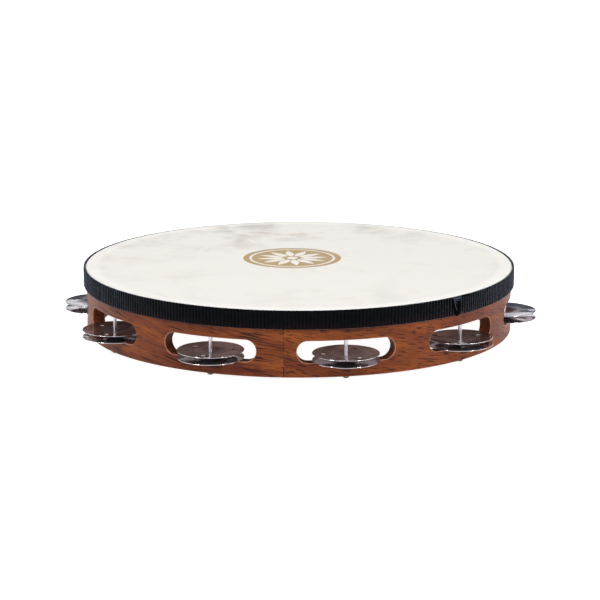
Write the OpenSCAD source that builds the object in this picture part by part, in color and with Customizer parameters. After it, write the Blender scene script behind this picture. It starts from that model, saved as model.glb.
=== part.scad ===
// Headed wooden tambourine: a bent three-ply hoop with ten slots, a goat-skin head held by a
// webbing band, and ten pairs of dished steel jingles, each pair riding on its own nail.
// Millimetres, +Z up. The origin is on the hoop's axis, level with the bottoms of the nail heads.
// Angles round the hoop are counted from -Y towards +X.

/* [Shell] */
// Outer radius of the wooden hoop
shell_r = 127; // [120:0.5:134]
// Height of the wooden hoop
shell_h = 38.5; // [36:0.5:44]
// Thickness of the outer and the inner ply
face_ply_t = 1.5; // [1.2:0.1:2]
// Thickness of the core ply
core_ply_t = 4.5; // [4:0.1:6]
// Rounding of the hoop's edges
edge_r = 1.2; // [0.6:0.1:1.2]

/* [Jingle slots] */
// Height of a slot
slot_h = 12.5; // [12:0.1:14]
// Height of a slot's floor above the hoop's lower edge
slot_floor_h = 8.5; // [7:0.1:10]
// Length of a slot from end to end, across the hoop's outer face
slot_w = 56.7; // [52:0.1:58]
// Angle of the first jingle pair
first_jingle_a = 12.3; // [0:0.1:35]

/* [Head] */
// Thickness of the goat skin
skin_t = 0.6; // [0.4:0.1:0.8]
// How far the skin reaches down the outside of the hoop
skin_skirt_h = 9.5; // [6:0.5:10]
// Radius of the round badge on the head
badge_r = 29.5; // [20:0.5:32]
// Badge centre to the right of the hoop's axis
badge_x = -4; // [-10:0.5:10]
// Badge centre behind the hoop's axis
badge_y = 14; // [0:0.5:20]
// Depth of the badge film, which lies flush in the skin
badge_t = 0.1; // [0.05:0.05:0.2]

/* [Webbing] */
// Height of the webbing band
webbing_h = 11; // [10:0.1:12]
// Thickness of the webbing
webbing_t = 1.2; // [0.8:0.1:1.6]
// How far the webbing's upper edge lies below the head
webbing_drop = 0.2; // [0:0.1:0.6]
// Angle of the folded joint in the webbing
fold_a = 44; // [0:1:359]
// Width of the folded joint at its top
fold_w = 8; // [4:0.5:10]
// Width of the folded joint at its point
fold_tip_w = 1; // [0.6:0.1:2]
// Thickness of the folded joint
fold_t = 0.9; // [0.5:0.1:1.2]

/* [Jingles] */
// Radius of a jingle disc
disc_r = 19; // [17:0.5:19.5]
// Thickness of a jingle disc
disc_t = 0.45; // [0.4:0.05:0.6]
// Depth of a disc's dish
dish_depth = 1.75; // [1:0.05:1.9]
// Depth of the cup pressed into a disc's middle
cup_depth = 0.95; // [0.6:0.05:1.2]
// Radius of the cup
cup_r = 7.5; // [6:0.5:9]
// Radius of the flat round a disc's hole
disc_flat_r = 2.4; // [2.2:0.1:3]
// Radius of a disc's hole
disc_hole_r = 1.6; // [1.4:0.1:1.8]
// Clearance between a disc and what it rests on
rest_gap = 0.1; // [0.08:0.01:0.15]
// Distance of the punched dimples from a disc's middle
dimple_ring_r = 12.7; // [11:0.1:15]
// Radius of a dimple's mouth
dimple_r = 1.3; // [1:0.1:1.5]
// Depth of a dimple
dimple_depth = 0.4; // [0.2:0.05:0.5]

/* [Nails] */
// Radius of a nail's shank
pin_r = 1.1; // [0.9:0.05:1.25]
// How far a nail reaches above its slot
pin_grip_h = 9; // [6:0.5:10]
// Length of a nail's point
pin_point_h = 2; // [1:0.5:3]
// Radius of a nail's blunt tip
pin_tip_r = 0.3; // [0.2:0.1:0.6]
// Radius of a nail's head
head_r = 2.4; // [2:0.1:2.8]
// Height of a nail's head
head_h = 1.4; // [1:0.1:1.6]
// Radius of the small flat that the hoop stands on
head_flat_r = 1; // [0.6:0.1:1.2]

/* [Hidden] */
$fn = 120;
cut_over = 2;
slot_reach = 6;
slot_ease = 0.02;
cup_steps = 6;
jingle_count = 10;

// How far each disc has come to rest turned about its nail, pair by pair
upper_turns = [24, 72, 100, 51, 88, 17, 73, 109, 40, 7];
lower_turns = [15, 76, 62, 31, 112, 79, 5, 47, 37, 112];

// Levels, from the floor up
shell_z0 = head_h;
shell_z1 = shell_z0 + shell_h;
head_z = shell_z1 + skin_t;
slot_z0 = shell_z0 + slot_floor_h;
slot_z1 = slot_z0 + slot_h;
lower_disc_z = slot_z0 + rest_gap;
upper_disc_z = lower_disc_z + dish_depth + disc_t + rest_gap;
webbing_z1 = head_z - webbing_drop;
webbing_z0 = webbing_z1 - webbing_h;

// Radii, from the outside in
webbing_r0 = shell_r + skin_t;
webbing_r1 = webbing_r0 + webbing_t;
core_r1 = shell_r - face_ply_t;
core_r0 = core_r1 - core_ply_t;
shell_r0 = core_r0 - face_ply_t;
pin_ring_r = (core_r0 + core_r1) / 2;

// A dome through the nail head's rim and the edge of its flat
dome_c = (head_r * head_r + head_h * head_h - head_flat_r * head_flat_r) / (2 * head_h);
dome_r = sqrt(head_flat_r * head_flat_r + dome_c * dome_c);

// A sphere whose cap has the dimple's mouth and depth
dimple_ball_r = (dimple_r * dimple_r + dimple_depth * dimple_depth) / (2 * dimple_depth);

// Name of one disc's node, such as jingle_03_lower_disc
function disc_name(n, place) = str("jingle_", n < 10 ? "0" : "", n, "_", place, "_disc");

// Angle of jingle pair n, counted from 1
function jingle_a(n) = first_jingle_a + (n - 1) * 360 / jingle_count;

// Height of a disc's surface above its flat middle, at radius r: a cup, then a shallow cone
function dish_z(r) =
    let (from_flat = max(0, r - disc_flat_r))
    cup_depth * (1 - cos(180 * min(1, from_flat / (cup_r - disc_flat_r)))) / 2
    + (dish_depth - cup_depth) * from_flat / (disc_r - disc_flat_r);

// Turns what is drawn along +X to the angle a round the hoop
module at_angle(a) {
    rotate([0, 0, a - 90])
        children();
}

// A ring with a rectangular section, from radius r0 to r1 and level z0 to z1
module ring(r0, r1, z0, z1) {
    rotate_extrude()
        translate([r0, z0])
            square([r1 - r0, z1 - z0]);
}

// One slot's cutter. The strip is cut before it is bent, so the slot's ends stand square to the
// wall. The cutter's middle stops slot_ease short at top and bottom, so no surfaces just touch.
module slot_cutter() {
    end_r = slot_h / 2;
    end_a = asin((slot_w / 2 - end_r) / shell_r);
    near_r = shell_r0 - slot_reach;
    far_r = shell_r + 2 * cut_over;
    translate([0, 0, slot_z0 + slot_ease])
        linear_extrude(height = slot_h - 2 * slot_ease)
            polygon([for (p = [[near_r, -end_a], [far_r, -end_a], [far_r, end_a], [near_r, end_a]])
                p[0] * [cos(p[1]), sin(p[1])]]);
    for (side = [-1, 1])
        rotate([0, 0, side * end_a])
            translate([near_r, 0, slot_z0 + end_r])
                rotate([0, 90, 0])
                    cylinder(r = end_r, h = far_r - near_r);
}

module all_slots() {
    for (n = [1 : jingle_count])
        at_angle(jingle_a(n))
            slot_cutter();
}

// A nail's shank with its point, standing on the hoop's lower edge
module nail_shank() {
    shank_z1 = slot_z1 + pin_grip_h - pin_point_h;
    translate([0, 0, shell_z0])
        cylinder(r = pin_r, h = shank_z1 - shell_z0);
    translate([0, 0, shank_z1])
        cylinder(r1 = pin_r, r2 = pin_tip_r, h = pin_point_h);
}

// A nail's domed head, with the small flat underneath that the hoop stands on
module nail_head() {
    intersection() {
        translate([0, 0, dome_c])
            sphere(r = dome_r);
        cylinder(r = head_r + cut_over, h = head_h);
    }
}

// A face ply's section: a strip from x = 0 whose two corners on the +X side are rounded. The
// inner ply's section is its mirror image.
module rounded_strip(width, height) {
    intersection() {
        square([width, height]);
        union() {
            square([width - edge_r, height]);
            translate([0, edge_r])
                square([width, height - 2 * edge_r]);
            for (z = [edge_r, height - edge_r])
                translate([width - edge_r, z])
                    circle(r = edge_r);
        }
    }
}

module outer_ply() {
    color([0.60, 0.30, 0.13])
        difference() {
            rotate_extrude()
                translate([core_r1, shell_z0])
                    rounded_strip(face_ply_t, shell_h);
            all_slots();
        }
}

module core_ply() {
    color([0.50, 0.25, 0.12])
        difference() {
            ring(core_r0, core_r1, shell_z0, shell_z1);
            all_slots();
            for (n = [1 : jingle_count])
                at_angle(jingle_a(n))
                    translate([pin_ring_r, 0, 0])
                        nail_shank();
        }
}

module inner_ply() {
    color([0.56, 0.28, 0.13])
        difference() {
            rotate_extrude()
                translate([core_r0, shell_z0])
                    mirror([1, 0])
                        rounded_strip(face_ply_t, shell_h);
            all_slots();
        }
}

// The skin lies flat across the hoop, turns over its rounded edge and runs down the outside
module goat_skin_head() {
    turn_r = shell_r - edge_r;
    turn_z = shell_z1 - edge_r;
    color([0.92, 0.90, 0.86])
        difference() {
            rotate_extrude() {
                translate([0, shell_z1])
                    square([turn_r, skin_t]);
                translate([shell_r, shell_z1 - skin_skirt_h])
                    square([skin_t, skin_skirt_h - edge_r]);
                difference() {
                    translate([turn_r, turn_z])
                        circle(r = edge_r + skin_t);
                    translate([turn_r, turn_z])
                        circle(r = edge_r);
                    square([turn_r, head_z + cut_over]);
                    square([shell_r + cut_over, turn_z]);
                }
            }
            translate([badge_x, badge_y, head_z - badge_t])
                cylinder(r = badge_r, h = badge_t + cut_over);
        }
}

// A printed film, level with the skin round it
module head_badge() {
    color([0.72, 0.61, 0.45])
        translate([badge_x, badge_y, head_z - badge_t])
            cylinder(r = badge_r, h = badge_t);
}

module webbing_band() {
    color([0.08, 0.09, 0.10])
        ring(webbing_r0, webbing_r1, webbing_z0, webbing_z1);
}

// The webbing's end, folded to a point at the band's lower edge
module webbing_fold() {
    color([0.05, 0.05, 0.06])
        at_angle(fold_a)
            intersection() {
                ring(webbing_r1, webbing_r1 + fold_t, webbing_z0, webbing_z1);
                translate([webbing_r0, 0, 0])
                    rotate([90, 0, 90])
                        linear_extrude(height = 2 * webbing_t + fold_t)
                            polygon([
                                [-fold_w / 2, webbing_z1], [-fold_tip_w / 2, webbing_z0],
                                [fold_tip_w / 2, webbing_z0], [fold_w / 2, webbing_z1]
                            ]);
            }
}

module jingle_nails() {
    color([0.80, 0.80, 0.80])
        for (n = [1 : jingle_count])
            at_angle(jingle_a(n))
                translate([pin_ring_r, 0, 0])
                    union() {
                        nail_shank();
                        nail_head();
                    }
}

// A dished disc with its hollow side up and its flat middle standing on z = 0. Its three dimples
// are dents in the hollow side and bumps on the other.
module dished_disc() {
    rs = concat([for (i = [0 : cup_steps]) disc_flat_r + (cup_r - disc_flat_r) * i / cup_steps], [disc_r]);
    under = concat([[0, 0]], [for (r = rs) [r, dish_z(r)]]);
    over = concat([for (i = [len(rs) - 1 : -1 : 0]) [rs[i], dish_z(rs[i]) + disc_t]], [[0, disc_t]]);
    ball_z = dish_z(dimple_ring_r) + disc_t + dimple_ball_r - dimple_depth;
    difference() {
        union() {
            rotate_extrude()
                polygon(concat(under, over));
            for (a = [0 : 120 : 240])
                rotate([0, 0, a])
                    translate([dimple_ring_r, 0, ball_z - disc_t])
                        intersection() {
                            sphere(r = dimple_ball_r);
                            translate([0, 0, -dimple_ball_r])
                                cylinder(r = dimple_r, h = dimple_depth + disc_t / 2);
                        }
        }
        for (a = [0 : 120 : 240])
            rotate([0, 0, a])
                translate([dimple_ring_r, 0, ball_z])
                    sphere(r = dimple_ball_r);
        translate([0, 0, -cut_over])
            cylinder(r = disc_hole_r, h = dish_depth + disc_t + 2 * cut_over);
    }
}

// The lower disc of pair n lies hollow side down on the slot's floor
module lower_disc(n) {
    color([0.74, 0.74, 0.76])
        at_angle(jingle_a(n))
            translate([pin_ring_r, 0, lower_disc_z + dish_depth + disc_t])
                rotate([180, 0, lower_turns[n - 1]])
                    dished_disc();
}

// The upper disc of pair n lies hollow side up on the lower one
module upper_disc(n) {
    color([0.78, 0.78, 0.80])
        at_angle(jingle_a(n))
            translate([pin_ring_r, 0, upper_disc_z])
                rotate([0, 0, upper_turns[n - 1]])
                    dished_disc();
}

outer_ply();
core_ply();
inner_ply();
goat_skin_head();
webbing_band();
webbing_fold();
head_badge();
jingle_nails();
for (n = [1 : jingle_count]) {
    lower_disc(n);
    upper_disc(n);
}
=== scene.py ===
import math

import bmesh
import bpy
import numpy as np
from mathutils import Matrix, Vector


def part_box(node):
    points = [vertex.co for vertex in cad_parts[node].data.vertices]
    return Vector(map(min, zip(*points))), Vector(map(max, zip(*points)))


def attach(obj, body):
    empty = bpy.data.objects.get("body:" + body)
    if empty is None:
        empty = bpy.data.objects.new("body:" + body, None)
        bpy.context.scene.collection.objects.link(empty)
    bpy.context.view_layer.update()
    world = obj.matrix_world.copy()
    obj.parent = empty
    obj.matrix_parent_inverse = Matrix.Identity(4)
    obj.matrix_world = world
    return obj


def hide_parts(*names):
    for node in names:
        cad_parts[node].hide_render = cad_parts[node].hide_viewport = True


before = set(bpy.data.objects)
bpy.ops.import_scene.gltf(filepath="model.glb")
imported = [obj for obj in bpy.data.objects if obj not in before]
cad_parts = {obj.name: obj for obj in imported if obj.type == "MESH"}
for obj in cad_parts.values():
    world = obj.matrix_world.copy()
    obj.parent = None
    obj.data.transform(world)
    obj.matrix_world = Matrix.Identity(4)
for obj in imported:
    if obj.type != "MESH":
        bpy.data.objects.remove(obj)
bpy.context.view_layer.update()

# Everything here is in metres, in the CAD model's frame: +Z up, the head on top, the hoop's axis
# at x = y = 0, and -Y towards the camera. Angles round the hoop run from -Y towards +X.
MM = 0.001
TAU = 2 * math.pi
RNG = np.random.default_rng(7)

# ---------------------------------------------------------------- sizes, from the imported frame
SHELL_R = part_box("outer_ply")[1].x
CORE_R1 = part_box("core_ply")[1].x
CORE_R0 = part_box("inner_ply")[1].x
INNER_R = CORE_R0 - (SHELL_R - CORE_R1)
SHELL_Z0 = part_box("outer_ply")[0].z
SHELL_Z1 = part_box("outer_ply")[1].z
HEAD_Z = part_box("goat_skin_head")[1].z
SKIN_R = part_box("goat_skin_head")[1].x
SKIRT_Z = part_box("goat_skin_head")[0].z
BAND_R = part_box("webbing_band")[1].x
BAND_Z0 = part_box("webbing_band")[0].z
BAND_Z1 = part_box("webbing_band")[1].z
BADGE_LO, BADGE_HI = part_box("head_badge")
BADGE_C = (BADGE_LO + BADGE_HI) / 2
BADGE_R = (BADGE_HI.x - BADGE_LO.x) / 2
JINGLES = 10

# Sizes that the frame's boxes don't give
EDGE_R = 1.2 * MM        # rounding of the hoop's four long edges
SLOT_W = 56.7 * MM       # a slot from end to end, across the outer face
SLOT_H = 12.5 * MM
SLOT_HALF = (SLOT_W - SLOT_H) / 2   # from a slot's middle to the centre of its round end
SLOT_Z0 = SHELL_Z0 + 8.5 * MM
SLOT_EDGE_R = 0.55 * MM  # the sanded edge round a slot
PIN_R = 1.1 * MM
NAIL_HEAD_R = 2.4 * MM
NAIL_FLAT_R = 1.0 * MM
NAIL_TOP_Z = SLOT_Z0 + SLOT_H + 9 * MM
DISC_R = 19 * MM
DISC_T = 0.45 * MM
DISC_HOLE_R = 1.6 * MM
DISC_FLAT_R = 2.4 * MM
DISC_CUP_R = 9.0 * MM
CUP_DEPTH = 1.05 * MM
DISH_DEPTH = 1.75 * MM
DIMPLE_RING_R = 12.7 * MM
DIMPLE_R = 1.4 * MM
DIMPLE_DEPTH = 0.58 * MM
RIBS = 384               # ribs round the webbing
RIB_SAMPLES = 8
RIB_DEPTH = 0.40 * MM
SLOT_END_A = math.asin(SLOT_HALF / SHELL_R)   # turn from a slot's nail to its round end
SEAM_A = math.radians(-3.8)   # the outer ply's scarf seam
FOLD_A = math.radians(44)     # the webbing's folded joint
ROUND_STEPS = 4               # steps round a rounded edge
WELD = 2e-6                   # points closer than this become one


def polar(radius, angle):
    """A point at this angle round the hoop, from -Y towards +X."""
    return radius * math.sin(angle), -radius * math.cos(angle)


def jingle_centre(n):
    """Middle of jingle pair n, from its lower disc's box."""
    lo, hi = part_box(f"jingle_{n:02d}_lower_disc")
    return (lo + hi) / 2


def jingle_angle(n):
    c = jingle_centre(n)
    return math.atan2(c.x, -c.y)


# ---------------------------------------------------------------- mesh helpers
def make_object(name, verts, faces, material, body="hoop"):
    mesh = bpy.data.meshes.new(name)
    mesh.from_pydata([tuple(map(float, v)) for v in verts], [],
                     [tuple(map(int, f)) for f in faces])
    mesh.validate()
    mesh.polygons.foreach_set("use_smooth", [True] * len(mesh.polygons))
    mesh.materials.append(material)
    obj = bpy.data.objects.new(name, mesh)
    bpy.context.scene.collection.objects.link(obj)
    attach(obj, body)
    return obj


def grid_faces(rows, cols, wrap_rows=False, wrap_cols=False, start=0):
    """Quads of a rows x cols grid of vertices, in row-major order from index start."""
    i = np.arange(rows if wrap_rows else rows - 1)[:, None]
    j = np.arange(cols if wrap_cols else cols - 1)[None, :]
    i2, j2 = (i + 1) % rows, (j + 1) % cols
    quads = np.stack(np.broadcast_arrays(
        start + i * cols + j, start + i * cols + j2,
        start + i2 * cols + j2, start + i2 * cols + j), axis=-1)
    return quads.reshape(-1, 4)


def sweep_round(section, steps):
    """Verts and faces of a closed section of (radius, z) swept round the Z axis.

    section(angles) gives radius and z arrays of shape (points, steps)."""
    angles = np.arange(steps) * TAU / steps
    radius, z = section(angles)
    verts = np.stack([radius * np.sin(angles), -radius * np.cos(angles), z], axis=-1)
    return verts.reshape(-1, 3), grid_faces(len(radius), steps, wrap_rows=True, wrap_cols=True)


def arc(cx, cy, radius, start_deg, end_deg, steps):
    """Points of an arc in the (radius, z) plane."""
    a = np.radians(np.linspace(start_deg, end_deg, steps))
    return list(zip(cx + radius * np.cos(a), cy + radius * np.sin(a)))


def smoothstep(x, low, high):
    t = np.clip((x - low) / (high - low), 0, 1)
    return t * t * (3 - 2 * t)


def fix_normals(obj):
    bm = bmesh.new()
    bm.from_mesh(obj.data)
    bmesh.ops.remove_doubles(bm, verts=bm.verts, dist=WELD)
    bmesh.ops.recalc_face_normals(bm, faces=bm.faces)
    bm.to_mesh(obj.data)
    bm.free()


# ---------------------------------------------------------------- node helpers
class Nodes:
    """Short calls for building the node tree of a material or world."""

    def __init__(self, owner):
        owner.use_nodes = True
        self.owner = owner
        self.tree = owner.node_tree

    def add(self, kind, **settings):
        node = self.tree.nodes.new(kind)
        for key, value in settings.items():
            setattr(node, key, value)
        return node

    def plug(self, source, target):
        self.tree.links.new(source, target)

    def feed(self, socket, value):
        """Sets a socket to a number or colour, or links it to another node's output."""
        if isinstance(value, bpy.types.NodeSocket):
            self.plug(value, socket)
        else:
            socket.default_value = value

    def math(self, operation, a, b=0.0, c=0.0):
        node = self.add("ShaderNodeMath", operation=operation)
        for socket, value in zip(node.inputs, (a, b, c)):
            self.feed(socket, value)
        return node.outputs[0]

    def plus(self, a, b):
        return self.math("ADD", a, b)

    def minus(self, a, b):
        return self.math("SUBTRACT", a, b)

    def times(self, a, b):
        return self.math("MULTIPLY", a, b)

    def hypot(self, a, b):
        return self.math("SQRT", self.plus(self.times(a, a), self.times(b, b)))

    def noise(self, vector, scale, detail=3.0, roughness=0.5):
        node = self.add("ShaderNodeTexNoise")
        self.feed(node.inputs["Vector"], vector)
        node.inputs["Scale"].default_value = scale
        node.inputs["Detail"].default_value = detail
        node.inputs["Roughness"].default_value = roughness
        return node.outputs["Fac"]

    def mask(self, value, low, high, at_low=0.0, at_high=1.0):
        """at_low below low, at_high above high, smooth between."""
        node = self.add("ShaderNodeMapRange", interpolation_type="SMOOTHSTEP")
        self.plug(value, node.inputs["Value"])
        for name, number in (("From Min", low), ("From Max", high),
                             ("To Min", at_low), ("To Max", at_high)):
            node.inputs[name].default_value = number
        return node.outputs["Result"]

    def less(self, value, low, high):
        """1 below low, 0 above high, smooth between."""
        return self.minus(1.0, self.mask(value, low, high))

    def mix(self, factor, a, b):
        node = self.add("ShaderNodeMix", data_type="RGBA")
        self.feed(node.inputs["Factor"], factor)
        colours = [s for s in node.inputs if s.type == "RGBA"]
        for socket, value in zip(colours, (a, b)):
            if not isinstance(value, bpy.types.NodeSocket):
                value = (*value, 1)
            self.feed(socket, value)
        return [s for s in node.outputs if s.type == "RGBA"][0]

    def vector(self, x, y, z):
        node = self.add("ShaderNodeCombineXYZ")
        for socket, value in zip(node.inputs, (x, y, z)):
            self.feed(socket, value)
        return node.outputs[0]

    def place(self):
        """The point being shaded, in the model's frame: the vector, then its x, y and z."""
        point = self.add("ShaderNodeTexCoord").outputs["Object"]
        return point, *self.split(point)

    def split(self, vector):
        node = self.add("ShaderNodeSeparateXYZ")
        self.plug(vector, node.inputs[0])
        return tuple(node.outputs)

    def bump(self, height, strength, distance, normal=None):
        node = self.add("ShaderNodeBump")
        node.inputs["Strength"].default_value = strength
        node.inputs["Distance"].default_value = distance
        self.plug(height, node.inputs["Height"])
        if normal is not None:
            self.plug(normal, node.inputs["Normal"])
        return node.outputs["Normal"]

    def set(self, **values):
        """Feeds a material's Principled sockets, named with underscores for spaces."""
        sockets = self.tree.nodes["Principled BSDF"].inputs
        for key, value in values.items():
            self.feed(sockets[key.replace("_", " ")], value)
        return self.owner


def material_nodes(name):
    return Nodes(bpy.data.materials.new(name))


def srgb(r, g, b):
    """A display colour, 0 to 255, as linear light."""
    return tuple(((c / 255 + 0.055) / 1.055) ** 2.4 if c > 10 else c / 255 / 12.92
                 for c in (r, g, b))


# ---------------------------------------------------------------- materials
def hoop_coordinates(n):
    """Distance round the hoop from the scarf seam, distance from the axis, and height, in mm."""
    _, x, y, z = n.place()
    angle = n.math("ARCTAN2", x, n.times(y, -1.0))
    turned = n.math("WRAP", n.minus(angle, SEAM_A), TAU, 0.0)
    radius = n.hypot(x, y)
    along = n.times(turned, SHELL_R / MM)
    return along, n.times(radius, 1 / MM), n.times(z, 1 / MM)


def wood(name, light, dark, pore_colour, slant, seam, gloss):
    """Bent, stained, open-pored wood: broad figure, fine grain, thin dark pores along the ply."""
    n = material_nodes(name)
    along, depth, height = hoop_coordinates(n)
    # The grain runs a little downhill, and wanders
    sway = n.noise(n.vector(n.times(along, 0.014), depth, n.times(height, 0.02)), 1.0, 2.0)
    across = n.plus(height, n.times(along, slant))
    across = n.plus(across, n.times(sway, 9.0))

    def streaks(length, width, detail, offset):
        return n.noise(n.vector(n.plus(n.times(along, 1 / length), offset),
                                n.times(depth, 0.7 / width),
                                n.times(across, 1 / width)), 1.0, detail, 0.5)

    figure = streaks(60.0, 7.0, 2.0, 11.0)
    grain = streaks(24.0, 0.8, 3.0, 5.0)
    colour = n.mix(n.mask(figure, 0.34, 0.66), light, dark)
    colour = n.mix(n.times(n.mask(grain, 0.45, 0.72), 0.32), colour, dark)
    crowd = n.noise(n.vector(n.times(along, 0.03), depth, n.times(across, 0.12)), 1.0, 1.0)
    crowd = n.times(n.minus(crowd, 0.5), 0.20)
    # One end of the ply has long pores and the other short ones
    far_end = n.mask(along, 330.0, 480.0)
    long_pores = n.mask(n.plus(streaks(24.0, 0.70, 0.0, 0.0), crowd), 0.605, 0.655)
    short_pores = n.mask(n.plus(streaks(6.5, 0.74, 0.0, 31.0), crowd), 0.600, 0.665)
    fine = n.times(n.mask(streaks(5.0, 0.5, 1.0, 71.0), 0.60, 0.72), 0.30)
    marks = n.math("MAXIMUM",
                   n.times(long_pores, n.plus(0.25, n.times(far_end, 0.72))),
                   n.times(short_pores, n.minus(0.80, n.times(far_end, 0.35))))
    marks = n.math("MAXIMUM", marks, fine)
    if seam:
        # The scarf's thin dark glue line, broken where lacquer filled it, and flecks beside it
        off = n.math("MINIMUM", along, n.minus(TAU * SHELL_R / MM, along))
        broken = n.noise(n.vector(0.0, 3.0, n.times(height, 0.30)), 1.0, 2.0)
        low = n.less(height, SHELL_Z0 / MM + 3.5, SHELL_Z0 / MM + 6.0)
        line = n.less(off, 0.16, 0.50)
        line = n.times(line, n.math("MAXIMUM", n.mask(broken, 0.42, 0.56), low))
        strip = n.times(n.mask(along, 1.2, 1.8), n.less(along, 4.0, 4.8))
        flecks = n.noise(n.vector(n.times(along, 0.25), 9.0, n.times(height, 1.1)), 1.0, 1.0)
        flecks = n.times(n.times(strip, n.mask(flecks, 0.52, 0.62)), 0.7)
        marks = n.math("MAXIMUM", marks, n.math("MAXIMUM", n.times(line, 0.95), flecks))
    colour = n.mix(marks, colour, pore_colour)
    # Round each slot the sanded edge is painted a pale pink: a painted highlight along the edge,
    # partly the thin stain there. The lacquer on it is thick, so it is glossier.
    wear_and_painted_light = n.add("ShaderNodeAttribute", attribute_name="edge_wear_and_highlight").outputs["Fac"]
    colour = n.mix(n.times(n.mask(wear_and_painted_light, 0.45, 1.0), 0.45), colour, srgb(222, 172, 152))
    normal = n.bump(n.minus(1.0, marks), 0.22, 0.06 * MM)
    ripple = n.noise(n.vector(n.times(along, 0.05), depth, n.times(height, 0.12)), 1.0, 2.0)
    normal = n.bump(ripple, 0.10, 0.6 * MM, normal)
    rough = n.plus(gloss, n.times(n.mask(grain, 0.3, 0.8), 0.10))
    rough = n.minus(rough, n.times(wear_and_painted_light, 0.20))
    return n.set(Base_Color=colour, Roughness=rough, Normal=normal, Specular_IOR_Level=0.14)


def goat_skin():
    """Natural rawhide: cream, with faint grey-brown marbling, hair roots and fine creases."""
    n = material_nodes("goat_skin_hide")
    point, x, y, _ = n.place()
    warp = n.add("ShaderNodeTexNoise")
    n.plug(point, warp.inputs["Vector"])
    warp.inputs["Scale"].default_value = 14.0
    moved = n.add("ShaderNodeVectorMath", operation="MULTIPLY_ADD")
    n.plug(warp.outputs["Color"], moved.inputs[0])
    moved.inputs[1].default_value = (0.05, 0.05, 0.05)
    n.plug(point, moved.inputs[2])
    place = moved.outputs[0]
    clouds = n.noise(place, 22.0, 5.0, 0.6)
    streak_place = n.add("ShaderNodeMapping")
    n.plug(place, streak_place.inputs["Vector"])
    streak_place.inputs["Rotation"].default_value = (0, 0, math.radians(20))
    streak_place.inputs["Scale"].default_value = (0.35, 1.6, 1.0)
    streaks = n.noise(streak_place.outputs[0], 60.0, 5.0, 0.65)
    # The marbling is strongest towards the far side of the head
    far = n.mask(n.plus(y, n.times(x, -0.35)), 0.0, 0.13)
    strength = n.plus(0.22, n.times(far, 0.78))
    cream, grey, tan = srgb(240, 236, 228), srgb(206, 201, 193), srgb(204, 190, 174)
    colour = n.mix(n.times(n.mask(clouds, 0.46, 0.70), strength), cream, grey)
    patches = n.noise(place, 38.0, 4.0, 0.55)
    colour = n.mix(n.times(n.mask(patches, 0.56, 0.74), n.times(strength, 0.75)), colour, tan)
    colour = n.mix(n.times(n.mask(streaks, 0.50, 0.78), n.times(strength, 0.35)), colour, grey)
    # Over the wall the skin is painted whiter: a painted highlight along the bearing edge, partly
    # the denser look of skin backed by wood
    radius = n.hypot(x, y)
    rim = n.mask(radius, INNER_R - 1.5 * MM, INNER_R + 2.5 * MM)
    colour = n.mix(n.times(rim, 0.55), colour, srgb(250, 247, 240))
    roots = n.add("ShaderNodeTexVoronoi", feature="F1")
    n.plug(place, roots.inputs["Vector"])
    roots.inputs["Scale"].default_value = 900.0
    root_mask = n.less(roots.outputs["Distance"], 0.05, 0.22)
    colour = n.mix(n.times(root_mask, 0.07), colour, srgb(170, 150, 128))
    # The flesh side, under the head, is browner and rougher, and is painted much darker too: painted
    # shade under the head
    facing_up = n.split(n.add("ShaderNodeNewGeometry").outputs["Normal"])[2]
    under = n.less(facing_up, -0.7, -0.3)
    veins = n.noise(place, 30.0, 3.0, 0.55)
    flesh_and_painted_shade = n.mix(n.mask(veins, 0.38, 0.62), srgb(98, 72, 70), srgb(186, 154, 142))
    flesh_and_painted_shade = n.mix(n.times(n.mask(clouds, 0.40, 0.66), 0.5), flesh_and_painted_shade, srgb(110, 84, 78))
    colour = n.mix(under, colour, flesh_and_painted_shade)
    normal = n.bump(n.noise(place, 420.0, 4.0, 0.6), 0.16, 0.15 * MM)
    normal = n.bump(streaks, 0.12, 0.25 * MM, normal)
    rough = n.plus(0.46, n.times(clouds, 0.16))
    return n.set(Base_Color=colour, Roughness=rough, Normal=normal, Specular_IOR_Level=0.25,
                 Subsurface_Weight=0.12, Subsurface_Radius=(0.004, 0.003, 0.002),
                 Subsurface_Scale=0.35)


def printed_ink(name, colour):
    """A matt printed film on the skin, a little thin in places, with a fine screen grain."""
    n = material_nodes(name)
    point, _, _, _ = n.place()
    thin = n.noise(point, 90.0, 4.0, 0.6)
    speck = n.noise(point, 2600.0, 2.0, 0.5)
    paler = tuple(min(1, c * 1.22 + 0.02) for c in colour)
    shade = n.mix(n.times(n.mask(thin, 0.42, 0.75), 0.35), colour, paler)
    shade = n.mix(n.times(n.mask(speck, 0.60, 0.75), 0.25), shade, paler)
    normal = n.bump(speck, 0.12, 0.05 * MM)
    rough = n.plus(0.50, n.times(thin, 0.15))
    return n.set(Base_Color=shade, Roughness=rough, Normal=normal, Specular_IOR_Level=0.3)


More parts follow.
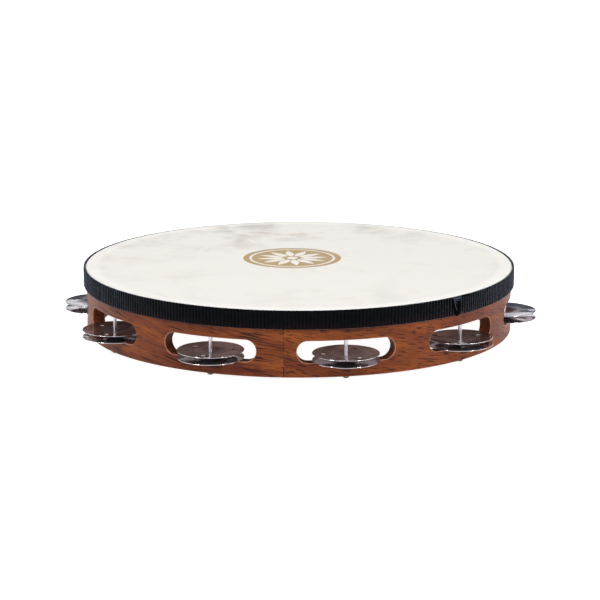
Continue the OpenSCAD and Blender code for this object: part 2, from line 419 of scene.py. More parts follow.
def webbing_tape(name, light_scale, gloss, sheen):
    """Black woven tape: fine threads across the ribs, a bluish sheen and a little lint."""
    n = material_nodes(name)
    along, depth, height = hoop_coordinates(n)
    thread = n.math("SINE", n.times(height, TAU / 0.42))
    wander = n.noise(n.vector(n.times(along, 0.9), depth, n.times(height, 0.9)), 1.0, 3.0, 0.6)
    thread = n.plus(thread, n.times(wander, 1.6))
    fuzz = n.noise(n.vector(n.times(along, 6.0), depth, n.times(height, 6.0)), 1.0, 3.0, 0.7)
    wear_and_painted_light = n.noise(n.vector(n.times(along, 0.06), depth, n.times(height, 0.1)), 1.0, 2.0)
    black, blue, painted_wood_reflection = (tuple(c * light_scale for c in srgb(*colour))
                          for colour in ((9, 9, 11), (24, 27, 34), (46, 32, 35)))
    colour = n.mix(n.mask(thread, -0.6, 1.9), black, blue)
    crest = n.mask(depth, (BAND_R - RIB_DEPTH * 0.62) / MM, (BAND_R - RIB_DEPTH * 0.05) / MM)
    # Near the lower edge, in patches, the tape is painted brown: a painted reflection of the wood
    # below
    low = n.less(height, BAND_Z0 / MM + 1.5, BAND_Z0 / MM + 5.5)
    colour = n.mix(n.times(low, n.mask(wear_and_painted_light, 0.3, 0.7)), colour, painted_wood_reflection)
    colour = n.mix(n.times(n.mask(fuzz, 0.60, 0.80), 0.35), colour, blue)
    # The grooves between the ribs are painted nearly black: painted shade in the grooves
    colour = n.mix(crest, tuple(c * 0.12 for c in black), colour)
    normal = n.bump(thread, 0.5, 0.10 * MM)
    normal = n.bump(fuzz, 0.35, 0.12 * MM, normal)
    rough = n.plus(0.62, n.times(fuzz, 0.25))
    return n.set(Base_Color=colour, Roughness=rough, Normal=normal, Specular_IOR_Level=gloss,
                 Sheen_Weight=sheen, Sheen_Roughness=0.30, Sheen_Tint=(0.72, 0.82, 1.0, 1.0))


def polished_disc_steel():
    """Rolled and polished steel: faint spun rings, hairline scratches and finger smears."""
    n = material_nodes("polished_steel_disc")
    # The disc's own millimetres from its middle, wherever it stands
    x, y, _ = n.split(n.add("ShaderNodeUVMap", uv_map="disc").outputs[0])
    radius = n.hypot(x, y)
    rings = n.noise(n.vector(n.times(radius, 5.0), 0.0, 0.0), 1.0, 3.0, 0.7)
    smear = n.noise(n.vector(n.times(x, 0.16), n.times(y, 0.16), 0.0), 1.0, 4.0, 0.6)
    lines = n.noise(n.vector(n.times(x, 0.5), n.times(y, 16.0), 0.0), 1.0)
    scratch = n.mask(lines, 0.64, 0.74)
    colour = n.mix(n.mask(smear, 0.35, 0.70), srgb(190, 181, 184), srgb(168, 158, 162))
    # The rolled rim is painted a paler steel: a painted highlight along the rim
    edge = n.mask(radius, 18.6, 18.8)
    colour = n.mix(edge, colour, srgb(214, 208, 212))
    # Each dimple is painted pale, rougher and less metallic so it shows bright: a painted glint,
    # partly the punch's scuff
    third = n.math("PINGPONG", n.math("ARCTAN2", y, x), TAU / 6)
    turned = n.times(radius, n.math("SINE", third))
    away = n.minus(n.times(radius, n.math("COSINE", third)), DIMPLE_RING_R / MM)
    away = n.hypot(away, turned)
    scuff_and_painted_glint = n.less(away, 1.15, 1.50)
    colour = n.mix(n.times(scuff_and_painted_glint, 0.8), colour, srgb(236, 228, 214))
    rough = n.plus(0.06, n.times(n.mask(smear, 0.35, 0.75), 0.08))
    # The nail and the other disc rub the cup dull
    rubbed = n.less(radius, 5.0, 16.0)
    rough = n.plus(rough, n.times(rubbed, 0.30))
    rough = n.plus(rough, n.times(scratch, 0.12))
    rough = n.plus(rough, n.times(scuff_and_painted_glint, 0.28))
    metal = n.minus(0.93, n.times(scuff_and_painted_glint, 0.50))
    normal = n.bump(rings, 0.04, 0.08 * MM)
    normal = n.bump(scratch, 0.05, 0.03 * MM, normal)
    return n.set(Base_Color=colour, Metallic=metal, Roughness=rough, Normal=normal)


def nail_metal():
    """Bright zinc-plated wire: drawn lines along it and a slightly cloudy plating."""
    n = material_nodes("nail_plated_steel")
    point, x, y, z = n.place()
    drawn = n.noise(n.vector(n.times(x, 9000.0), n.times(y, 9000.0), n.times(z, 160.0)),
                    1.0, 2.0, 0.6)
    cloud = n.noise(point, 700.0, 3.0, 0.6)
    colour = n.mix(n.mask(cloud, 0.35, 0.7), srgb(240, 236, 240), srgb(216, 210, 216))
    # The heads, under the hoop, are painted darker and browner: painted shade. They are also rougher
    # where the hoop has stood on them
    head = n.less(z, SHELL_Z0 - 0.3 * MM, SHELL_Z0 + 0.2 * MM)
    painted_head_shade = n.mix(n.mask(cloud, 0.40, 0.60), srgb(150, 130, 126), srgb(104, 86, 82))
    colour = n.mix(head, colour, painted_head_shade)
    rough = n.plus(0.26, n.times(cloud, 0.12))
    rough = n.plus(rough, n.times(head, 0.25))
    normal = n.bump(drawn, 0.04, 0.03 * MM)
    return n.set(Base_Color=colour, Metallic=0.9, Roughness=rough, Normal=normal)


# ---------------------------------------------------------------- the hoop's plies
FACE_RINGS = 5        # rings of quads between a slot's edge and its cell's border
TOP_STEPS = 22        # points along a slot's straight top, and along its floor
FAN_STEPS = 7         # points from a slot's corner direction to the next
LEVEL = 1e-7          # heights closer than this are the same
SQUARE = 1e-9         # a unit normal's part smaller than this is none


def slot_angle(s, radius):
    """Turn round the hoop at distance s along a slot. The round ends are cut square to the wall."""
    if abs(s) <= SLOT_HALF:
        return SLOT_END_A * s / SLOT_HALF
    return math.copysign(SLOT_END_A + math.asin((abs(s) - SLOT_HALF) / radius), s)


# From a slot's middle to the border of its part of the hoop, its cell
CELL_HALF = SLOT_HALF + SHELL_R * math.sin(math.pi / JINGLES - SLOT_END_A)


def slot_loop():
    """Centres and unit normals of the points round a slot, anticlockwise from its floor's left end.

    The fans at the round ends aim at the corners of the cell, so the cell gets its corners."""
    side = CELL_HALF - SLOT_HALF
    mid = SLOT_Z0 + SLOT_H / 2
    up = math.degrees(math.atan2(SHELL_Z1 - mid, side))
    down = math.degrees(math.atan2(mid - SHELL_Z0, side))
    fans = [np.linspace(low, high, FAN_STEPS)[1:]
            for low, high in ((-90, -down), (-down, 0), (0, up), (up, 90))]
    right = np.concatenate(fans)[:-1]
    left = 180 - right[::-1]
    floor = np.linspace(-SLOT_HALF, SLOT_HALF, TOP_STEPS)
    centres = ([(s, -90) for s in floor] + [(SLOT_HALF, a) for a in right]
               + [(s, 90) for s in floor[::-1]] + [(-SLOT_HALF, a) for a in left])
    return [(s, mid, math.cos(math.radians(a)), math.sin(math.radians(a))) for s, a in centres]


def to_border(s, z, ns, nz):
    """Where a line from (s, z) along its normal meets the border of the slot's part of the hoop."""
    reach = []
    if abs(ns) > SQUARE:
        reach.append((math.copysign(CELL_HALF, ns) - s) / ns)
    if abs(nz) > SQUARE:
        reach.append(((SHELL_Z1 if nz > 0 else SHELL_Z0) - z) / nz)
    t = min(r for r in reach if r >= 0)
    return s + ns * t, z + nz * t


def make_ply(name, node, r0, r1, round_out, round_in, material):
    """One ply as a closed mesh with its ten slots, its sanded edges and its rounded rims."""
    loop = slot_loop()
    count = len(loop)
    end_r = SLOT_H / 2
    cell = [to_border(*point) for point in loop]
    verts, faces, edge_wear_and_highlight = [], [], []

    def put(points, radius, angle):
        """Adds (turn, z, sink, wear) points at this radius, turned to this angle round the hoop."""
        start = len(verts)
        for turn, z, sink, wear_and_painted_light in points:
            verts.append((*polar(radius + sink, angle + turn), z))
            edge_wear_and_highlight.append(wear_and_painted_light)
        return start

    def face_rows(radius, rounded, sign):
        """Rows of points from the cell's border to the slot's edge on one face of the ply."""
        inset = EDGE_R if rounded else 0.0
        stretch = 1 - 2 * inset / (SHELL_Z1 - SHELL_Z0)
        lip = SLOT_EDGE_R if rounded else 0.0
        border = [(slot_angle(s, SHELL_R), SHELL_Z0 + inset + (z - SHELL_Z0) * stretch)
                  for s, z in cell]
        start = [(slot_angle(s + ns * (end_r + lip), radius), z + nz * (end_r + lip))
                 for s, z, ns, nz in loop]
        rows = []
        for k in range(FACE_RINGS + 1):
            t = (k / FACE_RINGS) ** 1.3
            rows.append([(b[0] + (p[0] - b[0]) * t, b[1] + (p[1] - b[1]) * t, 0.0, 0.0)
                         for b, p in zip(border, start)])
        if rounded:
            for k in range(1, ROUND_STEPS + 1):
                f = math.pi / 2 * k / ROUND_STEPS
                out, sink = lip * (1 - math.sin(f)), lip * (1 - math.cos(f))
                # Points on the sanded edge get weight 1: there the wood is painted a pale highlight
                # colour and made glossier
                wear_and_painted_light = 1.0 if k < ROUND_STEPS else 0.0
                rows.append([(slot_angle(s + ns * (end_r + out), radius), z + nz * (end_r + out),
                              sign * -sink, wear_and_painted_light) for s, z, ns, nz in loop])
        return rows

    outer = face_rows(r1, round_out, 1)
    inner = face_rows(r0, round_in, -1)
    for n in range(1, JINGLES + 1):
        # Equal steps, so that neighbouring cells share their border's points exactly
        angle = jingle_angle(1) + TAU * (n - 1) / JINGLES
        starts = [put(row, r1, angle) for row in outer]
        starts += [put(row, r0, angle) for row in inner[::-1]]
        for a, b in zip(starts, starts[1:]):
            for j in range(count):
                k = (j + 1) % count
                faces.append((a + j, a + k, b + k, b + j))
        # The upper and the lower rim, from the outer face round to the inner one
        for top in (False, True):
            edge = [(j, (j + 1) % count) for j in range(count)
                    if abs(cell[j][1] - cell[(j + 1) % count][1]) < LEVEL
                    and (cell[j][1] > SLOT_Z0 + end_r) == top]
            rim = rim_section(r0, r1, round_out, round_in, top)
            for j, k in edge:
                rows = [put([(outer[0][i][0], z, 0.0, 0.0) for i in (j, k)], radius, angle)
                        for radius, z in rim]
                for a, b in zip(rows, rows[1:]):
                    faces.append((a, a + 1, b + 1, b))
    obj = make_object(name, verts, faces, material)
    wear_and_painted_light = obj.data.attributes.new("edge_wear_and_highlight", "FLOAT", "POINT")
    wear_and_painted_light.data.foreach_set("value", np.array(edge_wear_and_highlight, np.float32))
    fix_normals(obj)
    mark_sharp(obj, 35)
    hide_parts(node)


def rim_section(r0, r1, round_out, round_in, top):
    """The rim's section from the outer face to the inner one, as (radius, z) points."""
    z = SHELL_Z1 if top else SHELL_Z0
    side = -1 if top else 1

    def corner(radius, inwards, rounded):
        """One corner's points, from its face to the rim."""
        if not rounded:
            return [(radius, z)]
        turns = [math.pi / 2 * k / ROUND_STEPS for k in range(ROUND_STEPS + 1)]
        return [(radius + inwards * EDGE_R * (1 - math.cos(f)),
                 z + side * EDGE_R * (1 - math.sin(f))) for f in turns]

    return corner(r1, -1, round_out) + corner(r0, 1, round_in)[::-1]


def mark_sharp(obj, degrees):
    """Keeps edges that turn by more than this crisp in smooth shading."""
    bm = bmesh.new()
    bm.from_mesh(obj.data)
    limit = math.radians(degrees)
    for e in bm.edges:
        if len(e.link_faces) == 2 and e.calc_face_angle(0) > limit:
            e.smooth = False
    bm.to_mesh(obj.data)
    bm.free()


# ---------------------------------------------------------------- the head
SKIN_T = HEAD_Z - SHELL_Z1
SAG = 0.28 * MM        # how far the free skin lies below the skin that rests on the wall
COCKLE_R = 112 * MM    # the skin's cockle is full from here outwards, and its rings are closer


def skin_height(x, y):
    """Height of the skin's upper face, with the slight cockle of natural hide."""
    r = np.hypot(x, y)
    a = np.arctan2(x, -y)
    free = 1 - smoothstep(r, INNER_R - 1.0 * MM, INNER_R + 2.2 * MM)
    cockle = (0.5 * np.sin(3 * a + 0.7) + 0.3 * np.sin(7 * a + 2.1) + 0.2 * np.sin(11 * a + 4.0))
    cockle = cockle * smoothstep(r, 40 * MM, COCKLE_R) * 0.07 * MM
    swell = 0.05 * MM * np.sin(x * 48 + 1.0) * np.sin(y * 39 + 0.4)
    return HEAD_Z - free * (SAG + cockle + swell)


def make_head(material):
    steps = 360
    turn_r = SKIN_R - SKIN_T - EDGE_R
    corner = arc(turn_r, HEAD_Z - EDGE_R - SKIN_T, EDGE_R + SKIN_T, 90, 0, 9)
    radii = np.concatenate([np.linspace(0.4 * MM, COCKLE_R, 50),
                            np.linspace(COCKLE_R + 1 * MM, turn_r, 24)])

    def section(angles):
        r, z = [], []
        for q in radii:
            r.append(np.full(steps, q))
            z.append(skin_height(q * np.sin(angles), -q * np.cos(angles)))
        for q, h in corner[1:] + [(SKIN_R, SKIRT_Z + 4 * MM), (SKIN_R, SKIRT_Z),
                                  (SKIN_R - SKIN_T, SKIRT_Z), (SKIN_R - SKIN_T, SKIRT_Z + 4 * MM)]:
            r.append(np.full(steps, q))
            z.append(np.full(steps, h))
        for q, h in arc(turn_r, HEAD_Z - EDGE_R - SKIN_T, EDGE_R, 0, 90, 6):
            r.append(np.full(steps, q))
            z.append(np.full(steps, h))
        for q in radii[:-1][::-3]:
            r.append(np.full(steps, q))
            z.append(skin_height(q * np.sin(angles), -q * np.cos(angles)) - SKIN_T)
        return np.array(r), np.array(z)

    verts, faces = sweep_round(section, steps)
    obj = make_object("goat_skin_stretched", verts, faces, material)
    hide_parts("goat_skin_head")
    fix_normals(obj)


def film(outline_grid, lift, thickness):
    """A thin print that follows the skin. outline_grid is an array of (rows, cols, 2) points."""
    rows, cols, _ = outline_grid.shape
    x, y = outline_grid[..., 0], outline_grid[..., 1]
    top = np.stack([x, y, skin_height(x, y) + lift], axis=-1).reshape(-1, 3)
    low = top - np.array([0, 0, thickness])
    count = rows * cols
    upper = grid_faces(rows, cols)
    lower = grid_faces(rows, cols, start=count)[:, ::-1]
    border = ([(0, j) for j in range(cols - 1)] + [(i, cols - 1) for i in range(rows - 1)]
              + [(rows - 1, j) for j in range(cols - 1, 0, -1)]
              + [(i, 0) for i in range(rows - 1, 0, -1)])
    ids = [i * cols + j for i, j in border]
    rim = [(a, a + count, b + count, b) for a, b in zip(ids, ids[1:] + ids[:1])]
    return np.vstack([top, low]), [tuple(f) for f in upper] + [tuple(f) for f in lower] + rim


def ring_grid(r0, r1, rows, cols):
    """A full ring round the badge's middle; its two ends meet."""
    r = np.linspace(r0, r1, rows)[:, None]
    a = np.linspace(0, TAU, cols)[None, :]
    return np.stack([BADGE_C.x + r * np.cos(a), BADGE_C.y + r * np.sin(a)], axis=-1)


def petal_grid(angle, r0, r1, half_width, rows, cols):
    """A leaf shape that points away from the badge's middle."""
    t = np.linspace(0, 1, rows)[:, None]
    across = np.linspace(-1, 1, cols)[None, :]
    out = r0 + (r1 - r0) * t + 0 * across
    side = half_width * np.sin(math.pi * t ** 0.8) * across
    c, s = math.cos(angle), math.sin(angle)
    return np.stack([BADGE_C.x + out * c - side * s, BADGE_C.y + out * s + side * c], axis=-1)


def join_parts(parts):
    verts, faces, start = [], [], 0
    for v, f in parts:
        verts.append(v)
        faces += [tuple(int(i) + start for i in face) for face in f]
        start += len(v)
    return np.vstack(verts), faces


EYE_R = 0.05 * MM                             # pinhole that a full ring leaves in the middle
RING_R0, RING_R1 = 24.4 * MM, 26.0 * MM
HUB_R = 3.2 * MM
PETALS, PETAL_TURN = 12, 0.13
PETAL_R0, PETAL_R1, PETAL_HALF = 5.0 * MM, 21.5 * MM, 2.6 * MM


def make_badge(tan, cream):
    """A plain tan roundel with a cream ring and a twelve-petalled rosette."""
    roundel = make_object("badge_roundel", *film(ring_grid(EYE_R, BADGE_R, 24, 145),
                                                 0.02 * MM, 0.12 * MM), tan)
    fix_normals(roundel)
    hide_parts("head_badge")
    lift, thick = 0.05 * MM, 0.04 * MM
    grids = [ring_grid(RING_R0, RING_R1, 3, 145), ring_grid(EYE_R, HUB_R, 5, 49)]
    grids += [petal_grid(k * TAU / PETALS + PETAL_TURN, PETAL_R0, PETAL_R1, PETAL_HALF, 19, 5)
              for k in range(PETALS)]
    parts = [film(grid, lift, thick) for grid in grids]
    rosette = make_object("badge_rosette", *join_parts(parts), cream)
    fix_normals(rosette)


# ---------------------------------------------------------------- the webbing
def make_webbing(material):
    steps = RIBS * RIB_SAMPLES
    inner_r = SKIN_R + 0.02 * MM
    depth_noise = RNG.uniform(0.78, 1.12, RIBS)
    rows = 15
    lip = 0.45 * MM
    z0, z1 = BAND_Z0, BAND_Z1

    def section(angles):
        rib = angles * RIBS / TAU
        index = np.floor(rib).astype(int) % RIBS
        phase = rib - np.floor(rib)
        crest = np.abs(np.sin(math.pi * phase)) ** 0.65
        bulge = (1 - crest) * RIB_DEPTH * depth_noise[index]
        r, z = [], []
        for k in range(rows):
            t = k / (rows - 1)
            h = z0 + lip + (z1 - z0 - 2 * lip) * t
            wave = 0.05 * np.sin(angles * 37 + 5 * t) + 0.03 * np.sin(angles * 91 - 9 * t)
            r.append(BAND_R + 0.04 * MM - bulge + wave * MM)
            z.append(np.full(steps, h))
        for k in range(1, ROUND_STEPS + 1):
            f = math.pi / 2 * k / ROUND_STEPS
            r.append(r[rows - 1] - lip * (1 - math.cos(f)))
            z.append(z1 - lip * (1 - math.sin(f)) - bulge * 0.9 * math.sin(f))
        for h in (z1 - 0.15 * MM, z0 + 0.15 * MM):
            r.append(np.full(steps, inner_r))
            z.append(np.full(steps, h))
        for k in range(ROUND_STEPS, 0, -1):
            f = math.pi / 2 * k / ROUND_STEPS
            r.append(r[0] - lip * (1 - math.cos(f)))
            z.append(z0 + lip * (1 - math.sin(f)) + bulge * 0.9 * math.sin(f))
        return np.array(r), np.array(z)

    verts, faces = sweep_round(section, steps)
    obj = make_object("webbing_ribbed_tape", verts, faces, material)
    fix_normals(obj)
    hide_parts("webbing_band")


def hoop_patch(points, radius):
    """Bends (s, z, lift) points round the hoop at the webbing's joint."""
    return [(*polar(radius + lift, FOLD_A + s / radius), z) for s, z, lift in points]


def strip(path, widths, lift, thickness):
    """A flat tape along a path of (s, z), with a rounded section, laid on the webbing."""
    verts, faces = [], []
    section = [(-1, 0.0), (-0.9, 0.75), (-0.45, 1.0), (0.0, 1.05),
               (0.45, 1.0), (0.9, 0.75), (1, 0.0)]
    path = np.array(path)
    along = np.gradient(path, axis=0)
    along /= np.linalg.norm(along, axis=1)[:, None]
    for (s, z), (ds, dz), w in zip(path, along, widths):
        verts += hoop_patch([(s - dz * w / 2 * u, z + ds * w / 2 * u, lift + thickness * v)
                             for u, v in section], BAND_R)
    count = len(section)
    for i in range(len(path) - 1):
        for j in range(count):
            k = (j + 1) % count
            a, b = i * count, (i + 1) * count
            faces.append((a + j, a + k, b + k, b + j))
    faces.append(tuple(range(count)))
    last = (len(path) - 1) * count
    faces.append(tuple(last + j for j in reversed(range(count))))
    return np.array(verts), faces


FOLD_POINTS = 16   # points along each strip of the fold


def make_fold(material, fray_and_highlight):
    """The tape's end, tucked into a narrow V: rolled edges that meet at the lower edge."""
    z0, z1 = BAND_Z0, BAND_Z1
    drop = z1 - z0
    t = np.linspace(0, 1, FOLD_POINTS)

    def line(s_top, z_top, s_end, z_end, bow=0.0):
        """A path from below the band's upper edge to above its lower one, in mm."""
        return np.stack([(s_top + (s_end - s_top) * t + bow * np.sin(math.pi * t)) * MM,
                         z1 - z_top * MM + (z_end * MM - drop + z_top * MM) * t], axis=-1)

    # The rolls and the tucked end take an extra-dark tape: painted shadow of the deep gap in the V
    parts = [strip(line(-3.6, 0.9, -0.25, -0.1, -0.25), (1.5 - 0.5 * t) * MM, -0.05 * MM, 0.75 * MM),
             strip(line(1.9, 2.6, 0.45, -0.1, 0.75), (3.1 - 1.7 * t) * MM, -0.05 * MM, 0.60 * MM),
             strip(line(-0.9, 2.0, 0.0, 0.4, 0.1), (1.3 - 0.5 * t) * MM, -0.05 * MM, 0.45 * MM)]
    obj = make_object("webbing_v_fold", *join_parts(parts), material)
    fix_normals(obj)
    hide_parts("webbing_fold")
    # Pale threads, a painted highlight along the rolls and partly real fraying: down the left roll,
    # across the frayed mouth, and one loose end lower down
    threads = [strip(line(-3.1, 0.8, -0.6, 3.3, -0.15), (0.50 - 0.20 * t) * MM,
                     0.45 * MM, 0.30 * MM)]
    # Each from (s0, down0) to (s1, down1), down from the band's upper edge, in mm
    for s0, down0, s1, down1, width in (
            (-3.4, 0.7, 3.3, 0.5, 0.30), (-1.2, 1.4, 2.8, 1.2, 0.40),
            (-0.8, 2.0, 1.6, 2.7, 0.30), (-1.7, 1.0, -0.8, 4.3, 0.28),
            (3.0, 1.0, 3.3, 4.2, 0.25), (3.3, 10.0, 4.4, 9.3, 0.35)):
        path = np.stack([(s0 + (s1 - s0) * t + 0.12 * np.sin(9 * t)) * MM,
                         z1 - (down0 + (down1 - down0) * t) * MM], axis=-1)
        threads.append(strip(path, np.full(FOLD_POINTS, width) * MM, 0.10 * MM, 0.45 * MM))
    pale_threads = make_object("webbing_fold_threads", *join_parts(threads), fray_and_highlight)
    fix_normals(pale_threads)
    lip = np.stack([np.linspace(3.4 * MM, 11.5 * MM, FOLD_POINTS),
                    z1 - 0.35 * MM + 0.06 * MM * np.sin(11 * t)], axis=-1)
    widths = np.full(FOLD_POINTS, 1.0 * MM)
    tuck = make_object("webbing_tucked_end", *strip(lip, widths, -0.15 * MM, 0.55 * MM), material)
    fix_normals(tuck)


# ---------------------------------------------------------------- nails and jingles
def make_nails(material):
    """Ten nails: a domed head below the hoop, a drawn shank and a point."""
    steps = 40
    head_c = (NAIL_HEAD_R ** 2 + SHELL_Z0 ** 2 - NAIL_FLAT_R ** 2) / (2 * SHELL_Z0)
    dome_r = math.hypot(NAIL_FLAT_R, head_c)
    rise = np.linspace(0, SHELL_Z0 - 0.18 * MM, 9)
    section = [(0.05 * MM, 0.0)] + [(math.sqrt(dome_r ** 2 - (head_c - z) ** 2), z) for z in rise]
    edge_r = section[-1][0]
    section += [(edge_r + 0.02 * MM, SHELL_Z0 - 0.06 * MM), (edge_r - 0.08 * MM, SHELL_Z0)]
    section += [(PIN_R + 0.25 * MM, SHELL_Z0), (PIN_R, SHELL_Z0 + 0.3 * MM)]
    section += [(PIN_R, z) for z in np.linspace(SHELL_Z0 + 2 * MM, NAIL_TOP_Z - 2 * MM, 10)]
    section += [(PIN_R * 0.25, NAIL_TOP_Z), (0.02 * MM, NAIL_TOP_Z)]
    angles = np.arange(steps) * TAU / steps
    parts = []
    for n in range(1, JINGLES + 1):
        c = jingle_centre(n)
        verts = np.array([[(c.x + r * math.cos(a), c.y + r * math.sin(a), z) for a in angles]
                          for r, z in section]).reshape(-1, 3)
        faces = [tuple(f) for f in grid_faces(len(section), steps, wrap_cols=True)]
        faces.append(tuple(range(steps)))
        faces.append(tuple((len(section) - 1) * steps + j for j in reversed(range(steps))))
        parts.append((verts, faces))
    obj = make_object("nails_domed", *join_parts(parts), material)
    fix_normals(obj)
    mark_sharp(obj, 40)
    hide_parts("jingle_nails")


DISC_STEPS = 180
PUNCH_R = 3.6 * MM       # the sheet round a dimple is drawn in a little
PUNCH_DEPTH = 0.32 * MM
UPPER_WAVE, LOWER_WAVE = 0.075 * MM, 0.12 * MM   # waviness that the press and knocks leave


def dish_height(r):
    """Height of a dish's face above its flat middle: a pressed cup, then a shallow cone."""
    in_cup = np.clip((r - DISC_FLAT_R) / (DISC_CUP_R - DISC_FLAT_R), 0, 1)
    in_cone = np.clip((r - DISC_FLAT_R) / (DISC_R - DISC_FLAT_R), 0, None)
    return CUP_DEPTH * (1 - np.cos(math.pi * in_cup)) / 2 + (DISH_DEPTH - CUP_DEPTH) * in_cone


def disc_mesh(wave):
    """A dished disc, hollow side up, standing on z = 0, with three punched dimples from +X on."""
    radii = np.concatenate([[DISC_HOLE_R + 0.08 * MM],
                            np.linspace(DISC_HOLE_R + 0.25 * MM, 11 * MM, 22),
                            np.linspace(11.2 * MM, 14.2 * MM, 15),
                            np.linspace(14.8 * MM, 18.6 * MM, 8)])
    # Half as far apart at the dimples as on average
    angles = np.arange(DISC_STEPS) * TAU / DISC_STEPS
    angles = angles - np.sin(3 * angles) / 6
    tip = DISC_R - DISC_T / 2
    directions, pitches = RNG.uniform(0, TAU, 6), RNG.uniform(9 * MM, 20 * MM, 6)
    phases = RNG.uniform(0, TAU, 6)

    def face(r):
        """Height of the under face round a circle of radius r."""
        x, y = r * np.cos(angles), r * np.sin(angles)
        height = np.full(DISC_STEPS, dish_height(r))
        for k in range(3):
            a = k * TAU / 3
            away = np.hypot(x - DIMPLE_RING_R * math.cos(a), y - DIMPLE_RING_R * math.sin(a))
            height -= DIMPLE_DEPTH * np.clip(1 - (away / DIMPLE_R) ** 2, 0, None) ** 1.5
            height -= PUNCH_DEPTH * np.exp(-(away / PUNCH_R) ** 2)
        waves = sum(np.sin(TAU * (x * math.cos(d) + y * math.sin(d)) / w + f)
                    for d, w, f in zip(directions, pitches, phases))
        fade = smoothstep(r, 3 * MM, 9 * MM) * (1 - 0.6 * smoothstep(r, 15 * MM, 18.8 * MM))
        return height + wave * waves / 2 * fade

    def circle(r, z):
        return np.stack([r * np.cos(angles), r * np.sin(angles), z + np.zeros(DISC_STEPS)], axis=-1)

    rows = [circle(r, face(r) + DISC_T) for r in radii]
    # The rim is rolled smooth, so the sheet's edge is round
    for f in np.radians(np.linspace(80, -80, 5)):
        rows.append(circle(tip + DISC_T / 2 * math.cos(f),
                           face(tip) + DISC_T / 2 * (1 + math.sin(f))))
    rows += [circle(r, face(r)) for r in radii[::-1]]
    for f in np.radians(np.linspace(-60, 60, 4)):
        rows.append(circle(DISC_HOLE_R + 0.18 * MM - DISC_T / 2 * math.cos(f),
                           DISC_T / 2 * (1 + math.sin(f))))
    verts = np.array(rows).reshape(-1, 3)
    return verts, grid_faces(len(rows), DISC_STEPS, wrap_rows=True, wrap_cols=True)


def make_disc(n, place, turn, lean, material):
    """A disc at its turn about the nail, leaning outwards a little on the slot's floor."""
    node = f"jingle_{n:02d}_{place}_disc"
    lo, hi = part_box(node)
    c = (lo + hi) / 2
    own, faces = disc_mesh(UPPER_WAVE if place == "upper" else LOWER_WAVE)
    c_t, s_t = math.cos(math.radians(turn)), math.sin(math.radians(turn))
    flat = own @ np.array([[c_t, s_t, 0], [-s_t, c_t, 0], [0, 0, 1]])
    if place == "lower":
        flat = flat * np.array([1, -1, -1])
    # Leaning swings the disc about the level line through its middle, square to the hoop's radius
    out = np.array([*polar(1.0, jingle_angle(n)), 0.0])
    reach = flat @ out
    verts = flat + np.outer(flat[:, 2] * math.sin(lean), out)
    verts[:, 2] -= reach * math.sin(lean)
    # The box includes the dimples' bumps, so a disc is placed by its rim's side
    level = hi.z - DISH_DEPTH - DISC_T if place == "upper" else lo.z + DISH_DEPTH + DISC_T
    verts += np.array([c.x, c.y, level])
    obj = make_object(f"disc_{n:02d}_{place}", verts, faces, material, f"jingle_{n:02d}_{place}")
    uv = obj.data.uv_layers.new(name="disc")
    loops = np.zeros(len(obj.data.loops), np.int32)
    obj.data.loops.foreach_get("vertex_index", loops)
    uv.data.foreach_set("uv", (own[loops, :2] / MM).astype(np.float32).ravel())
    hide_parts(node)


# ---------------------------------------------------------------- camera, light and floor
def make_camera():
    """A long lens a little above the hoop, at the photograph's angle."""
    elevation = math.radians(12.74)
    distance = 1.604
    aim = Vector((0.0, 0.0, SHELL_Z0 + 15.9 * MM))
    camera = bpy.data.objects.new("camera", bpy.data.cameras.new("camera"))
    bpy.context.scene.collection.objects.link(camera)
    camera.location = aim + Vector((0, -math.cos(elevation), math.sin(elevation))) * distance
    camera.rotation_mode = "QUATERNION"
    camera.rotation_quaternion = (aim - camera.location).to_track_quat("-Z", "Y")
    camera.data.lens = 160
    camera.data.sensor_width = 36
    camera.data.clip_start = 0.05
    camera.data.shift_x = 0.0019
    bpy.context.scene.camera = camera


def area_light(name, place, aim, size, power, colour=(1, 1, 1), mirrored=True):
    data = bpy.data.lights.new(name, "AREA")
    data.shape = "RECTANGLE"
    data.size, data.size_y = size
    data.energy = power
    data.color = colour
    obj = bpy.data.objects.new(name, data)
    bpy.context.scene.collection.objects.link(obj)
    obj.location = place
    obj.rotation_mode = "QUATERNION"
    obj.rotation_quaternion = (Vector(aim) - Vector(place)).to_track_quat("-Z", "Y")
    obj.visible_glossy = mirrored


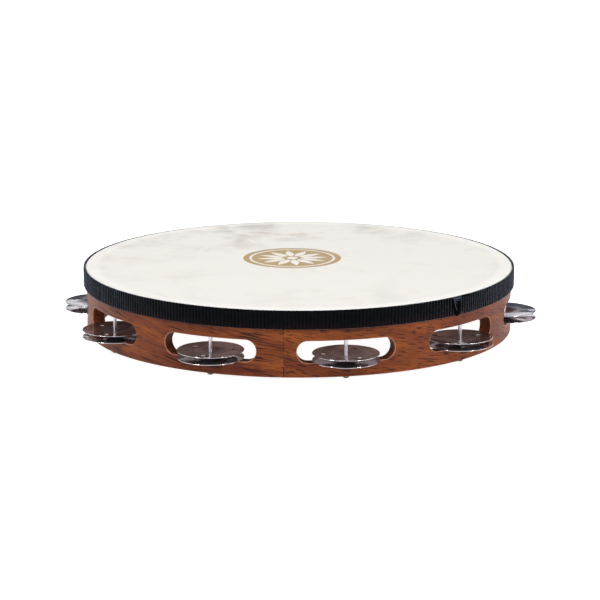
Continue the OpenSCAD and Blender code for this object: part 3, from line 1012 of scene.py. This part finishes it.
def make_studio():
    """A white floor, softboxes in front, lamps overhead, low strips at the sides, pale paper."""
    n = material_nodes("studio_floor")
    seen = n.add("ShaderNodeLightPath").outputs["Is Camera Ray"]
    n.set(Base_Color=(0.80, 0.80, 0.80, 1), Roughness=0.8, Specular_IOR_Level=0.1,
          Emission_Color=(1, 1, 1, 1), Emission_Strength=n.plus(0.46, n.times(seen, 0.46)))
    size = 6.0
    mesh = bpy.data.meshes.new("floor")
    mesh.from_pydata([(-size, -size, 0), (size, -size, 0), (size, size, 0), (-size, size, 0)], [],
                     [(0, 1, 2, 3)])
    mesh.materials.append(n.owner)
    floor = bpy.data.objects.new("floor", mesh)
    bpy.context.scene.collection.objects.link(floor)

    world = bpy.data.worlds.new("studio")
    bpy.context.scene.world = world
    n = Nodes(world)
    back = n.tree.nodes["Background"]
    _, towards_y, towards_z = n.split(n.add("ShaderNodeTexCoord").outputs["Generated"])
    # Bright low sweep behind, dark elsewhere. The camera itself sees plain pale paper
    sweep = n.times(n.mask(towards_y, 0.45, 0.70), n.mask(towards_z, 0.19, 0.25, 1.0, 0.0))
    seen = n.add("ShaderNodeLightPath").outputs["Is Camera Ray"]
    strength = n.math("MAXIMUM", n.mask(sweep, 0.0, 1.0, 0.12, 1.08),
                      n.mask(seen, 0.0, 1.0, 0.0, 1.12))
    n.plug(strength, back.inputs["Strength"])
    # Its dark parts are bluer
    n.plug(n.mix(strength, (0.66, 0.77, 1.0), (0.94, 0.965, 1.0)), back.inputs["Color"])

    aim = (0, 0, 0.03)
    warm = (1.0, 0.98, 0.96)
    area_light("softbox_left", (-1.15, -0.95, 1.15), aim, (0.45, 0.45), 15, warm)
    area_light("softbox_right", (1.15, -1.05, 1.05), aim, (0.45, 0.45), 15, warm)
    area_light("overhead", (0.0, 0.35, 1.7), aim, (1.6, 1.0), 10.5, mirrored=False)
    area_light("sparkle", (-0.05, 0.50, 1.55), aim, (0.40, 0.26), 4)
    area_light("strip_left", (-1.7, -0.15, 0.28), aim, (0.9, 0.45), 3.2)
    area_light("strip_right", (1.7, -0.15, 0.28), aim, (0.9, 0.45), 6)


# ---------------------------------------------------------------- build
make_camera()
make_studio()
bpy.context.scene.view_settings.view_transform = "Standard"

stain = dict(pore_colour=srgb(48, 20, 14), slant=0.15)
outer_wood = wood("stained_outer_ply", srgb(140, 73, 30), srgb(108, 51, 27),
                  seam=True, gloss=0.36, **stain)
core_wood = wood("core_ply_edge", srgb(134, 72, 42), srgb(96, 48, 30),
                 seam=False, gloss=0.48, **stain)
inner_wood = wood("stained_inner_ply", srgb(134, 70, 36), srgb(98, 49, 29),
                  seam=False, gloss=0.42, **stain)
make_ply("hoop_outer_ply", "outer_ply", CORE_R1, SHELL_R, True, False, outer_wood)
make_ply("hoop_core_ply", "core_ply", CORE_R0, CORE_R1, False, False, core_wood)
make_ply("hoop_inner_ply", "inner_ply", INNER_R, CORE_R0, False, True, inner_wood)

make_head(goat_skin())
make_badge(printed_ink("badge_tan_ink", srgb(184, 157, 116)),
           printed_ink("badge_cream_ink", srgb(240, 235, 224)))
make_webbing(webbing_tape("webbing_black_tape", 0.35, 0.04, 0.75))
# The fold's tape is extra dark, a painted shadow of the V's gap; its threads are pale, a painted
# highlight along the rolls and partly fraying
make_fold(webbing_tape("webbing_fold_painted_shadow", 0.25, 0.02, 0.0),
          webbing_tape("webbing_frayed_threads_painted_highlight", 13.0, 0.05, 0.08))
make_nails(nail_metal())

steel = polished_disc_steel()
# How far each disc has turned on its nail and how far each pair leans outwards, in degrees
UPPER_TURNS = (24, 72, 100, 51, 88, 17, 73, 109, 40, 7)
LOWER_TURNS = (15, 76, 62, 31, 112, 79, 5, 47, 37, 112)
PAIR_LEANS = (0.1, -0.8, 0.7, -0.6, 0.4, 0.8, -0.3, 0.6, 0.5, 0.8)
for jingle in range(1, JINGLES + 1):
    facing = math.degrees(jingle_angle(jingle)) - 90
    tilt = math.radians(PAIR_LEANS[jingle - 1])
    make_disc(jingle, "lower", -(facing + LOWER_TURNS[jingle - 1]), tilt, steel)
    make_disc(jingle, "upper", facing + UPPER_TURNS[jingle - 1], tilt, steel)
